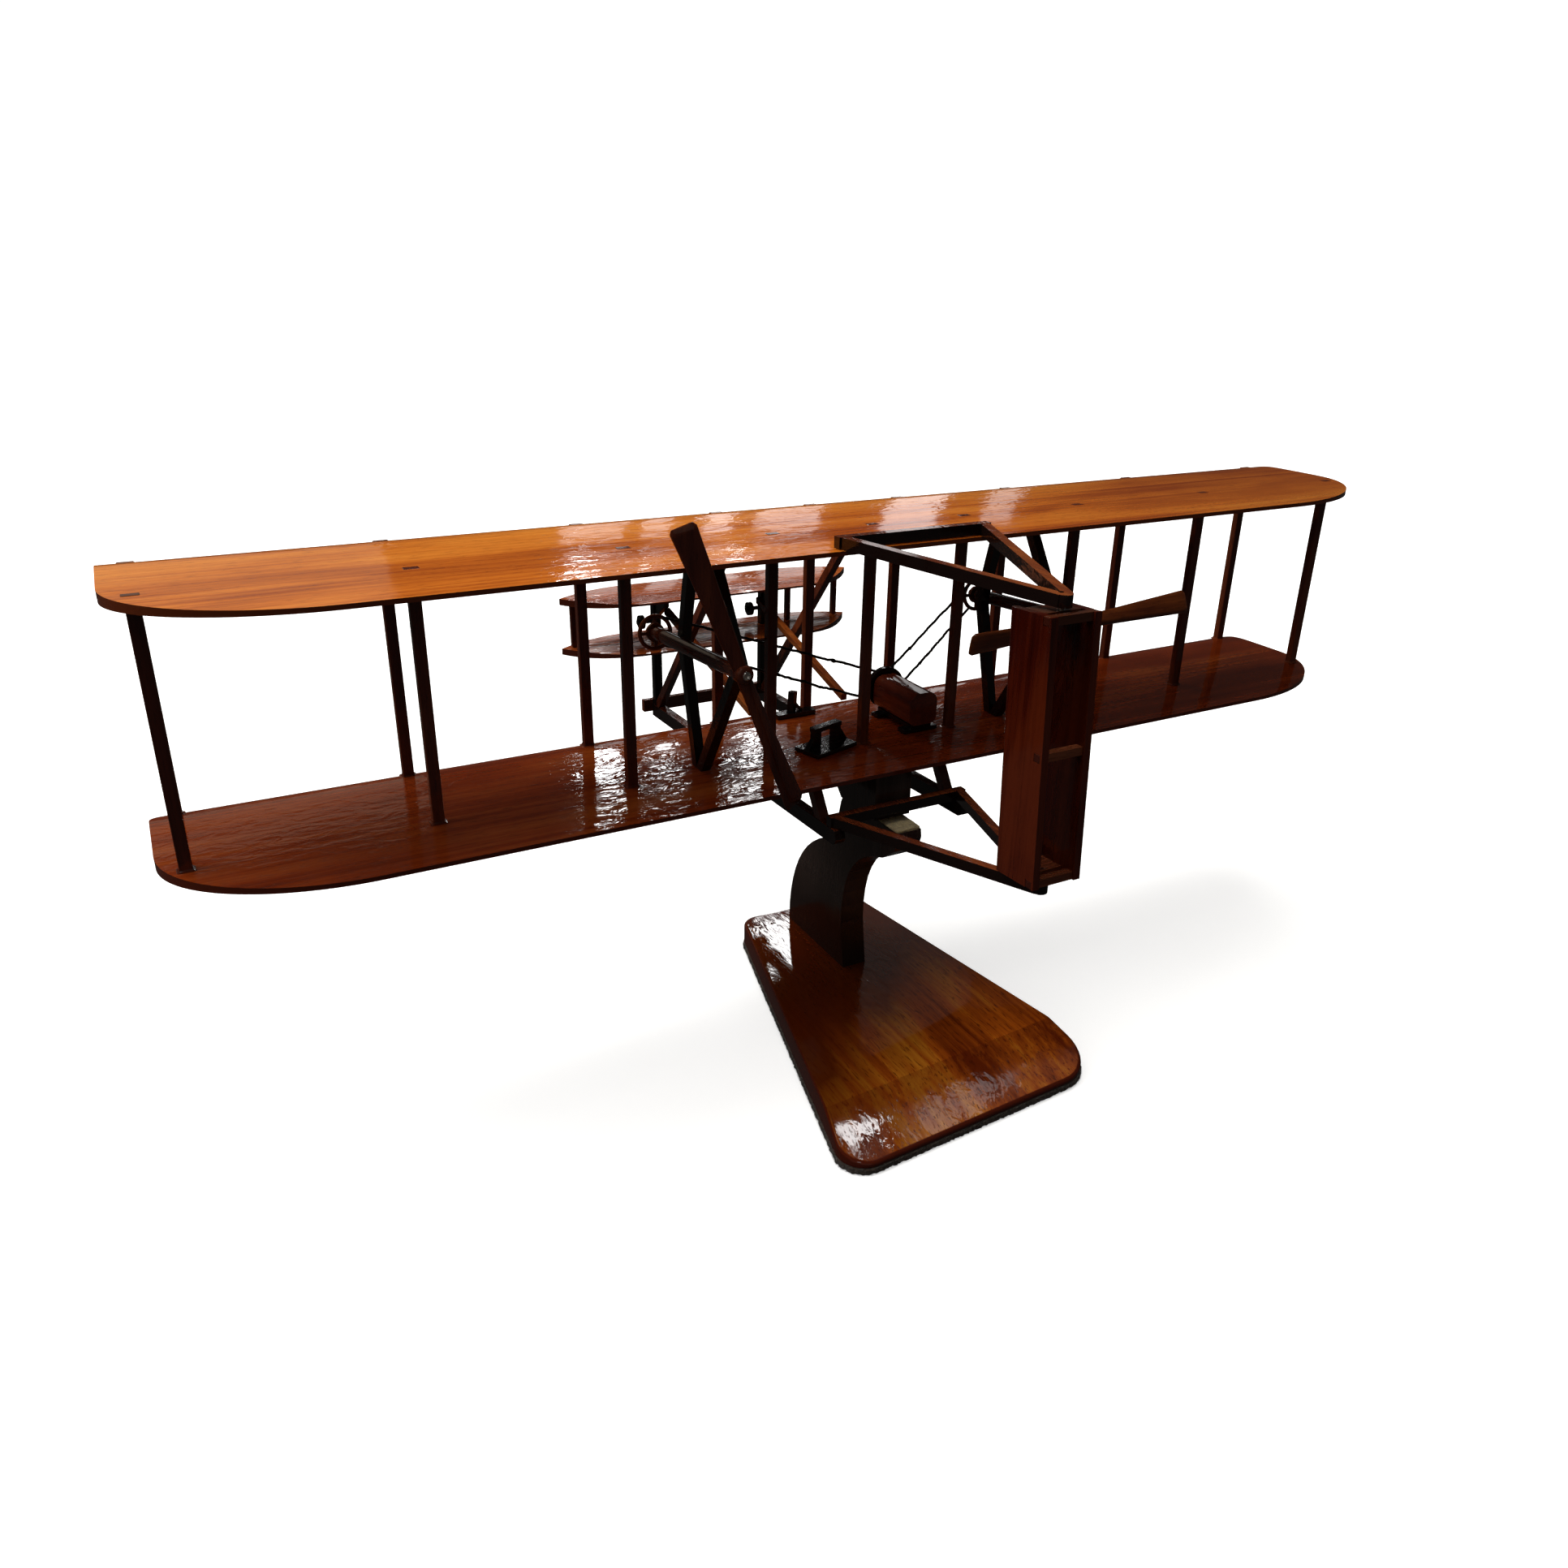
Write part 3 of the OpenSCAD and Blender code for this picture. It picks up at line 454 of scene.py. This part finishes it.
def wing(node):
    """A wing as two smooth sheets and a rim."""
    low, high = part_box(node)
    chord = high.y - low.y
    deck = deck_of(node)
    bays, tip_steps, steps = 60, 30, 44
    middle = [k / bays * (high.x - TIP_SPAN) for k in range(-bays, bays + 1)]
    tip = [high.x - TIP_SPAN * (1 - math.sin(k / tip_steps * math.pi / 2)) for k in range(1, tip_steps + 1)]
    across = [-x for x in reversed(tip)] + middle + tip
    vertices = []
    for height in (crown, floor_of):
        for x in across:
            tail, nose = wing_edges(x, low, high)
            for j in range(steps + 1):
                y = nose + (tail - nose) * (j / steps) ** 1.6
                vertices.append((x, y, deck + height((high.y - y) / chord)))
    per = steps + 1
    sheet = len(across) * per
    faces = []
    for i in range(len(across) - 1):
        for j in range(steps):
            a, b = i * per + j, (i + 1) * per + j
            faces.append((a, a + 1, b + 1, b))
            faces.append((sheet + a, sheet + b, sheet + b + 1, sheet + a + 1))
    rim = [i * per for i in range(len(across))]
    rim += [(len(across) - 1) * per + j for j in range(1, per)]
    rim += [i * per + steps for i in range(len(across) - 2, -1, -1)]
    rim += [j for j in range(steps - 1, 0, -1)]
    for a, b in zip(rim, rim[1:] + rim[:1]):
        faces.append((a, b, sheet + b, sheet + a))
    piece = new_piece(node + "_skin", vertices, faces, WOODS[node], "airframe", node + "_wood", (node,))
    soften(piece, 0.8, 4, 40)


wing("upper_wing")
wing("lower_wing")


# ---- propellers ----------------------------------------------------------

PROP_RADIUS = 52.5 * MM
# Each from the hub to the tip: half the width and half the thickness in millimetres, pitch in degrees.
BLADE_WIDTH, BLADE_THICKNESS, BLADE_PITCH = (2.4, 4.6), (2.1, 1.1), (-30, -18)
TIP_CORNER, HUB_SHARE = 0.03, 0.12
BOSS = [(0.85, -3.0), (2.4, -3.0), (3.0, -2.7), (3.2, -2.2),
        (3.2, 2.2), (3.0, 2.7), (2.4, 3.0), (0.85, 3.0)]


def propeller(node, body, turn):
    """A carved two-bladed propeller about its hub; turn is its rest angle from upright, in degrees."""
    joint = next(j for j in frame["joints"] if j["child"] == body)
    hub, axle = Vector(joint["pos_m"]), Vector(joint["axis"]).normalized()
    side = Vector((1, 0, 0))
    up = side.cross(axle)
    turned = Matrix.Rotation(math.radians(turn), 3, axle)
    rings, around = 80, 24
    vertices = []
    for i in range(rings + 1):
        u = -1 + 2 * i / rings
        far = abs(u)
        rounding = math.sqrt(1 - (1 - min(1, (1 - far) / TIP_CORNER)) ** 2)
        width, thickness, pitch = (hub_end + (tip_end - hub_end) * far
                                   for hub_end, tip_end in (BLADE_WIDTH, BLADE_THICKNESS, BLADE_PITCH))
        width *= MM * (0.80 + 0.20 * rounding)
        thickness *= MM * (0.45 + 0.55 * rounding)
        blend = min(1, far / HUB_SHARE)
        pitch = math.radians(pitch) * (1 if u > 0 else -1) * blend * blend * (3 - 2 * blend)
        for a in turns(around):
            c, t = eased(math.cos(a), 0.75) * width, eased(math.sin(a), 0.9) * thickness
            flat = side * (c * math.cos(pitch) - t * math.sin(pitch))
            deep = axle * (c * math.sin(pitch) + t * math.cos(pitch))
            vertices.append(hub + turned @ (up * (u * PROP_RADIUS) + flat + deep))
    faces = capped_rings(rings + 1, around)
    new_piece(node + "_blades", vertices, faces, WOODS[node], body, "prop_wood", (node,), 60)
    boss = lathed(BOSS, hub, axle, 40, bored=True)
    new_piece(node + "_boss", *boss, WOODS[node], body, "prop_wood", (), 50)


propeller("port_propeller", "port_prop", -21)
propeller("starboard_propeller", "starboard_prop", 87.5)


# ---- base and felt -------------------------------------------------------

BASE_LENGTH, BASE_FRONT, BASE_REAR = 154 * MM, 61 * MM, 116 * MM
BASE_TURN, BASE_SKEW = math.radians(-3.5), 7     # the skew is the rear edge's, in degrees
BASE_AT = Vector((-1.3, 5, 0)) * MM
BASE_TOP = 12 * MM
BEVEL_RUN = 28.6 * MM
BEVEL_DROP = BEVEL_RUN * math.tan(math.radians(15))
FELT = 2.6 * MM
FRONT_CORNER, PORT_CORNER, STARBOARD_CORNER = 8, 10, 16


def rounded(corners, steps):
    """Outline through rounded corners, each (x, y, radius, first angle, last angle), in millimetres."""
    points = []
    for x, y, r, first, last in corners:
        for k in range(steps + 1):
            a = math.radians(first + (last - first) * k / steps)
            points.append(Vector((x + r * math.cos(a), y + r * math.sin(a), 0)) * MM)
    return points


def evenly(points, step):
    """The closed outline resampled with points about one step apart."""
    fresh = []
    for a, b in zip(points, points[1:] + points[:1]):
        count = max(1, round((b - a).length / step))
        fresh += [a.lerp(b, k / count) for k in range(count)]
    return fresh


def base_edge(step):
    """The base's outline in its own frame; its sides flare and its rear edge slants."""
    front, rear, long = BASE_FRONT / MM / 2, BASE_REAR / MM / 2, BASE_LENGTH / MM / 2
    nose, square = FRONT_CORNER, 270 + BASE_SKEW
    corners = [(front - nose, long - nose, nose, 15, 90), (nose - front, long - nose, nose, 90, 165),
               (11.5 - rear, 4.2 - long, PORT_CORNER, 169, square),
               (rear - 17.5, 21.1 - long, STARBOARD_CORNER, square, 371)]
    return evenly(rounded(corners, 10), step)


def outward(outline, k):
    """The outline's normal at point k."""
    return (outline[(k + 1) % len(outline)] - outline[k - 1]).cross(UP).normalized()


def in_place(p):
    """From the base's own frame to the model's."""
    return Matrix.Rotation(BASE_TURN, 3, "Z") @ p + BASE_AT


def from_rear(p):
    """Distance of p ahead of the slanting rear edge."""
    skew = math.radians(BASE_SKEW)
    return (p - Vector((0, -BASE_LENGTH / 2 - MM, 0))).dot(Vector((-math.sin(skew), math.cos(skew), 0)))


def base_block():
    """The base: a flat top, a wide bevel across the rear with a crisp upper line, rounded edges."""
    outline = []
    raw = base_edge(2 * MM)
    for a, b in zip(raw, raw[1:] + raw[:1]):
        outline.append(a)
        before, after = from_rear(a) - BEVEL_RUN, from_rear(b) - BEVEL_RUN
        if before * after < 0:
            outline.append(a.lerp(b, before / (before - after)))
    count = len(outline)
    first, second = (k for k in range(count) if abs(from_rear(outline[k]) - BEVEL_RUN) < 0.001 * MM)
    soft, lip = 0.9 * MM, 0.5 * MM
    levels = [(lip, None, FELT), (0, None, FELT + lip)]
    levels += [(soft * (1 - math.cos(a)), soft * (1 - math.sin(a)), None)
               for a in (math.radians(degrees) for degrees in (0, 20, 40, 60, 75, 90))]
    levels.append((soft + 0.6 * MM, 0, None))
    vertices = []
    for inset, drop, z in levels:
        for k, p in enumerate(outline):
            q = p - outward(outline, k) * inset
            top = BASE_TOP - BEVEL_DROP * min(1, max(0, 1 - from_rear(q) / BEVEL_RUN))
            vertices.append(in_place(q) + UP * (z if drop is None else top - drop))
    last = (len(levels) - 1) * count
    faces = capped_rings(len(levels), count)[:-1]
    faces.append(tuple(last + k for k in range(first, second + 1)))
    faces.append(tuple(last + k % count for k in range(second, first + count + 1)))
    piece = new_piece("base_block", vertices, faces, WOODS["base"], "stand", "base_wood", ("stand_base",))
    sharp = piece.data.attributes["sharp_edge"].data
    for edge in piece.data.edges:
        if {v % count for v in edge.vertices} == {first, second}:
            sharp[edge.index].value = True


def felt_fuzz(outline):
    """Loose fibres that stand out of the felt's edge."""
    hairs, ends = [], []
    thick = 0.09 * MM
    for k, p in enumerate(outline):
        out = outward(outline, k)
        side = out.cross(UP)
        for n in range(4):
            seat = p * 5000 + Vector((n * 3.7, n * 1.3, 0))
            wild = Vector(noise.noise(q) for q in (seat, seat + Vector((9, 0, 0)), seat * 1.7))
            root = p + out * (0.1 * MM) + UP * ((0.4 + 0.6 * n + 0.5 * wild.x) * MM)
            tip = root + (out * (0.75 + 0.5 * wild.y) + side * (1.1 * wild.x)) * MM
            tip.z = max(0.05 * MM, tip.z + 0.9 * wild.z * MM)
            start = len(hairs)
            corners = (root - side * thick, root + side * thick, root + UP * thick, tip)
            hairs += [in_place(q) for q in corners]
            ends += [(start, start + 3, start + 1), (start + 1, start + 3, start + 2),
                     (start + 2, start + 3, start), (start, start + 1, start + 2)]
    return new_piece("felt_fuzz", hairs, ends, DARK_FELT, "stand", "felt", (), 80)


def felt_sheet():
    """The felt under the base: a ragged pressed edge with loose fibres."""
    outline = base_edge(0.4 * MM)
    heights = (0, 0.25, 0.9, 1.6, 2.2, FELT / MM)
    vertices = []
    for z in heights:
        for k, p in enumerate(outline):
            rag = noise.noise(p * 1300 + UP * (z * 2.1)) * 0.6
            rag += noise.noise(p * 330 + Vector((7, 0, z * 0.8))) * 0.25
            grow = rag + (0.25 if z else -0.25)
            vertices.append(in_place(p + outward(outline, k) * (grow * MM)) + UP * (z * MM))
    faces = capped_rings(len(heights), len(outline))
    cloth = new_piece("felt_sheet", vertices, faces, DARK_FELT, "stand", "felt", ("base_felt",), 80)
    fuzz = felt_fuzz(outline)


def pad():
    """The strip of felt between the arm and the saddle, its sides puffed and uneven."""
    low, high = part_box("arm_pad")
    middle, reach = (low + high) / 2, (high - low) / 2
    lengths, around = 60, 28
    vertices = []
    for i in range(lengths + 1):
        t = 1 - 2 * i / lengths
        tight = 0.88 + 0.12 * (1 - t ** 24) ** 0.5
        for a in turns(around):
            x, z = eased(math.cos(a), 0.22), eased(math.sin(a), 0.45)
            p = middle + Vector((x * reach.x * tight, t * reach.y, z * reach.z * tight))
            fuzz = noise.noise(p * 700) * 0.16 + noise.noise(p * 2100) * 0.10
            vertices.append(p + Vector((x * fuzz, 0, min(0, z) * 0.2 * fuzz)) * MM)
    faces = capped_rings(lengths + 1, around)
    piece = new_piece("arm_pad_felt", vertices, faces, PALE_FELT, "stand", "pad", ("arm_pad",), 75)


base_block()
felt_sheet()
pad()


# ---- wires, nails and varnish --------------------------------------------

# Millimetres: the shafts' hubs and slope, the chain wheels' places along them, the engine's wheel.
SHAFT_X, SHAFT_TILT = 72.2, math.radians(4.4)
SPROCKET_OUT = {-1: 73.9, 1: 66.9}
HUB = Vector((0, -9.6, 163.9))
WHEEL = Vector((27.2, 57.6, 124.5))
SPROCKET_INSET, SPROCKET_GRIP = 3.2, 5.4
WHEEL_INSET, WHEEL_GRIP = 3, 6.4
WIRE_RADIUS, WIRE_STEP = 0.55, 0.8


def chains(side, name, node):
    """Two hand-bent wires from the chain wheel to the engine's wheel, kinked and thick with paint."""
    out = SPROCKET_OUT[side]
    ring = Vector((side * (SHAFT_X - SPROCKET_INSET), HUB.y + out * math.cos(SHAFT_TILT),
                   HUB.z - out * math.sin(SHAFT_TILT)))
    shells = []
    for s in (-1, 1):
        start = ring + UP * (SPROCKET_GRIP * s)
        end = WHEEL + Vector((WHEEL_INSET * side, 0, WHEEL_GRIP * s))
        count = round((end - start).length / WIRE_STEP)
        points, radii = [], []
        for k in range(count + 1):
            t = k / count
            free = math.sin(math.pi * t) ** 0.4 if 0 < t < 1 else 0
            seat = Vector((t * 9 + s * 4, side * 3, 0))
            bend = Vector((0, noise.noise(seat + Vector((5, 0, 0))), noise.noise(seat))) * (0.7 * free)
            kink = UP * (noise.noise(seat * 6) * 0.3 * free)
            points.append((start.lerp(end, t) + bend + kink) * MM)
            blob = max(0, noise.noise(Vector((t * 34 + s * 9, side * 2, 4))) - 0.25)
            radii.append((WIRE_RADIUS + 1.1 * blob * free) * MM)
        shells.append(tube(points, radii))
    new_piece(name, *joined(shells), WIRE, "airframe", "chain_wire", (node,), 60)


def nails():
    """The two nails, with dished heads."""
    axle = Vector((0, math.cos(SHAFT_TILT), -math.sin(SHAFT_TILT)))
    head = [(0.15, -3.45), (0.45, -3.5), (0.75, -3.62), (1.0, -3.95), (1.2, -4.15), (1.42, -4.05),
            (1.55, -3.75), (1.5, -3.35), (0.8, -3.3), (0.8, 10.5)]
    shells = [lathed(head, Vector((side * SHAFT_X, HUB.y, HUB.z)) * MM, axle, 32) for side in (-1, 1)]
    new_piece("nail_heads", *joined(shells), STEEL, "airframe", "nail_steel", ("prop_nails",), 50)


def varnish_pool(x, y, deck, sense):
    """A fillet round a strut at x and y, up from a deck or, with a sense of -1, down from one."""
    steps, corner_steps, gap = 6, 4, 0.02 * MM
    half_x, half_y = 1.95 * MM, 1.6 * MM
    spread = (0.95 + 0.35 * noise.noise(Vector((x, y, deck)) * 90)) * MM
    vertices = []
    for k in range(steps + 1):
        a = k / steps * math.pi / 2
        out = spread * (1 - math.sin(a)) + gap
        z = deck + sense * (spread * 0.8 * (1 - math.cos(a)) + gap)
        for quarter, (cx, cy) in enumerate(((1, 1), (-1, 1), (-1, -1), (1, -1))):
            for j in range(corner_steps + 1):
                b = (quarter + j / corner_steps) * math.pi / 2
                vertices.append(Vector((x + cx * half_x + out * math.cos(b),
                                        y + cy * half_y + out * math.sin(b), z)))
    faces = rings_to_faces(steps + 1, 4 * (corner_steps + 1))
    return vertices, [face if sense > 0 else tuple(reversed(face)) for face in faces]


def varnish_pools():
    """A thin fillet of varnish round each strut's foot and under its head."""
    wing_low, wing_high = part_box("lower_wing")
    shells = []
    for name in (n for n in NODES if n.startswith(("front_strut_", "rear_strut_"))):
        low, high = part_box(name)
        x, y = (low.x + high.x) / 2, (low.y + high.y) / 2
        share = (wing_high.y - y) / (wing_high.y - wing_low.y)
        shells.append(varnish_pool(x, y, deck_of("lower_wing") + crown(share), 1))
        shells.append(varnish_pool(x, y, deck_of("upper_wing") + floor_of(share), -1))
    new_piece("varnish_pools", *joined(shells), WOODS["upright"], "airframe", "dark_wood", (), 60)


chains(-1, "port_chain_wires", "port_chain")
chains(1, "starboard_chain_wires", "starboard_chain")
nails()
varnish_pools()


# ---- carried-over CAD nodes ----------------------------------------------

STRUTS = [n for n in NODES if "_strut_" in n]
DRESSED = {
    WOODS["arm"]: ["stand_arm", "saddle_block"],
    WOODS["peg"]: ["stand_peg"],
    WOODS["upright"]: STRUTS + ["elevator_struts", "skid_legs", "upper_braces"],
    WOODS["lengthwise"]: ["port_skid", "starboard_skid", "upper_outrigger", "lower_outrigger"],
    WOODS["shaft"]: ["port_shaft", "starboard_shaft"],
    WOODS["crosswise"]: ["skid_crossbar", "sprockets"],
    WOODS["elevator"]: ["upper_elevator", "lower_elevator"],
    WOODS["engine"]: ["engine_block"],
    WOODS["amber"]: ["lower_braces"],
    WOODS["rudder"]: ["rudder_sides"],
    WOODS["slat"]: ["rudder_slats"],
    BLACK: ["nose_posts", "elevator_brackets", "elevator_pulleys", "port_shaft_braces",
            "starboard_shaft_braces", "engine_mount", "flywheel", "hip_cradle", "control_board",
            "control_lever"],
    STEEL: ["rudder_pins"],
    BRASS: ["base_screws"],
}
for material, names in DRESSED.items():
    for name in names:
        paint(name, material)

# Millimetres of rounding, and the nodes that get it.
ROUNDING = {
    0.8: ["stand_arm", "saddle_block", "engine_block"],
    0.5: ["port_skid", "starboard_skid", "upper_elevator", "lower_elevator", "hip_cradle"],
    0.85: ["rudder_sides"],
    0.35: ["skid_crossbar", "skid_legs", "nose_posts", "upper_braces", "lower_braces",
           "elevator_struts", "elevator_brackets", "port_shaft_braces", "starboard_shaft_braces",
           "engine_mount", "control_board", "control_lever", "upper_outrigger", "lower_outrigger",
           "rudder_slats"] + STRUTS,
}
for width, names in ROUNDING.items():
    for name in names:
        soften(NODES[name], width)


# ---- light and floor -----------------------------------------------------

AIM = Vector((0, 0.04, 0.13))
PANEL_AWAY = 5.0


def lamp(name, heading, rise, away, width, height, power, colour=(1, 1, 1)):
    """A rectangular light that looks at the model's middle; angles in degrees."""
    at = AIM + direction(math.radians(heading), math.radians(rise)) * away
    light = bpy.data.lights.new(name, "AREA")
    light.shape = "RECTANGLE"
    light.size = width
    light.size_y = height
    light.energy = power
    light.color = colour
    box = bpy.data.objects.new(name, light)
    box.location = at
    box.rotation_mode = "QUATERNION"
    box.rotation_quaternion = (AIM - at).to_track_quat("-Z", "Y")
    bpy.context.scene.collection.objects.link(box)
    return box


def panel(name, headings, rises, radiance, colour=(1, 1, 1)):
    """A far panel of even brightness that spans two headings and two rises, in degrees."""
    heading, rise = sum(headings) / 2, sum(rises) / 2
    width, height = (2 * PANEL_AWAY * math.tan(math.radians(high - low) / 2)
                     for low, high in (headings, rises))
    width *= math.cos(math.radians(rise))
    lamp(name, heading, rise, PANEL_AWAY, width, height, radiance * math.pi * width * height, colour)


def backdrop():
    """A round floor that curves up all round the model, lit from within so that it stays plain white."""
    s = Shader("floor_paper")
    mottled = s.noise((6, 6, 6), 3)
    tone = s.mix(mottled, (0.88, 0.88, 0.88), (0.92, 0.92, 0.92))
    distance = s.add("VectorMath", {0: s.where}, operation="LENGTH").outputs["Value"]
    glow = s.ramp(distance, 0.3, 1.6, 0.62, 1.0)
    paper = s.finish(Base_Color=tone, Roughness=0.9, Emission_Color=(1, 1, 1, 1), Emission_Strength=glow)
    reach, curve, top, around, bends, gap = 8.0, 1.5, 7.0, 96, 16, 0.2 * MM
    profile = [(d, 0.0) for d in (0.3, 1.0, 3.0)]
    profile += [(reach + curve * math.sin(a), curve * (1 - math.cos(a)))
                for a in (k / bends * math.pi / 2 for k in range(bends + 1))]
    profile.append((reach + curve, top))
    vertices = [Vector((d * math.sin(a), d * math.cos(a), z - gap))
                for d, z in profile for a in turns(around)]
    faces = rings_to_faces(len(profile), around)
    faces.append(tuple(reversed(range(around))))
    mesh = bpy.data.meshes.new("floor")
    mesh.from_pydata([tuple(v) for v in vertices], [], faces)
    mesh.shade_smooth()
    mesh.materials.append(paper)
    floor = bpy.data.objects.new("floor", mesh)
    bpy.context.scene.collection.objects.link(floor)
    floor.visible_glossy = False
    floor.visible_diffuse = False


def studio():
    """The backdrop, two soft lights that the gloss doesn't mirror, and the panels that it does."""
    backdrop()
    lamp("overhead", -45, 70, 2.2, 2.4, 2.4, 64, (1, 0.97, 0.92)).visible_glossy = False
    lamp("side_fill", -80, 25, 2.5, 1.2, 1.2, 14).visible_glossy = False
    for name, headings, rises, radiance in (
            ("window_left", (17.5, 18.9), (20, 25), 20),
            ("window_middle", (21.2, 22.2), (21, 24), 11),
            ("window_right", (26.1, 27.2), (20.4, 23.6), 20),
            ("wall_right", (25.0, 30.0), (19.0, 26.0), 0.35),
            ("window_high", (26.8, 29.4), (28.5, 31.4), 15),
            ("pane_left", (16.6, 19.8), (6, 14), 0.75),
            ("pane_middle", (20.8, 22.2), (6, 14), 0.9),
            ("pane_right", (23.9, 25.4), (6, 14), 1.4),
            ("pane_wide", (26.7, 30.0), (6, 14), 1.0),
            ("pane_low", (17.0, 31.0), (16.4, 18.0), 0.6),
            ("pane_far", (33.4, 36.2), (6, 20), 1.2),
            ("pane_last", (38.5, 40.0), (5, 14), 0.7),
            ("ceiling_lamp", (61.2, 63.6), (55.0, 61), 16),
            ("ceiling_glow", (66.4, 69.6), (49, 57), 1.5),
            ("ceiling_sheen", (57, 76), (47, 64), 0.12),
            ("ceiling_strip", (15, 50), (64, 69), 9),
            ("lamp_behind", (196, 206), (48, 56), 7)):
        panel(name, headings, rises, radiance)
    for rise, radiance in ((27, 0.16), (29, 0.13), (31, 0.10), (33, 0.07), (35, 0.04)):
        panel(f"far_wall_{rise}", (31, 40), (rise, rise + 2), radiance, (1, 0.86, 0.80))
    panel("warm_wall", (-14, 8.1), (5, 26), 0.26, (1, 0.80, 0.60))
    panel("room_behind", (170, 240), (5, 40), 0.12, (1, 0.85, 0.7))
    world = bpy.data.worlds.new("room")
    world.use_nodes = True
    background = world.node_tree.nodes["Background"]
    background.inputs["Color"].default_value = (1, 0.95, 0.9, 1)
    background.inputs["Strength"].default_value = 0.025
    bpy.context.scene.world = world
    bpy.context.scene.view_settings.view_transform = "Standard"


studio()
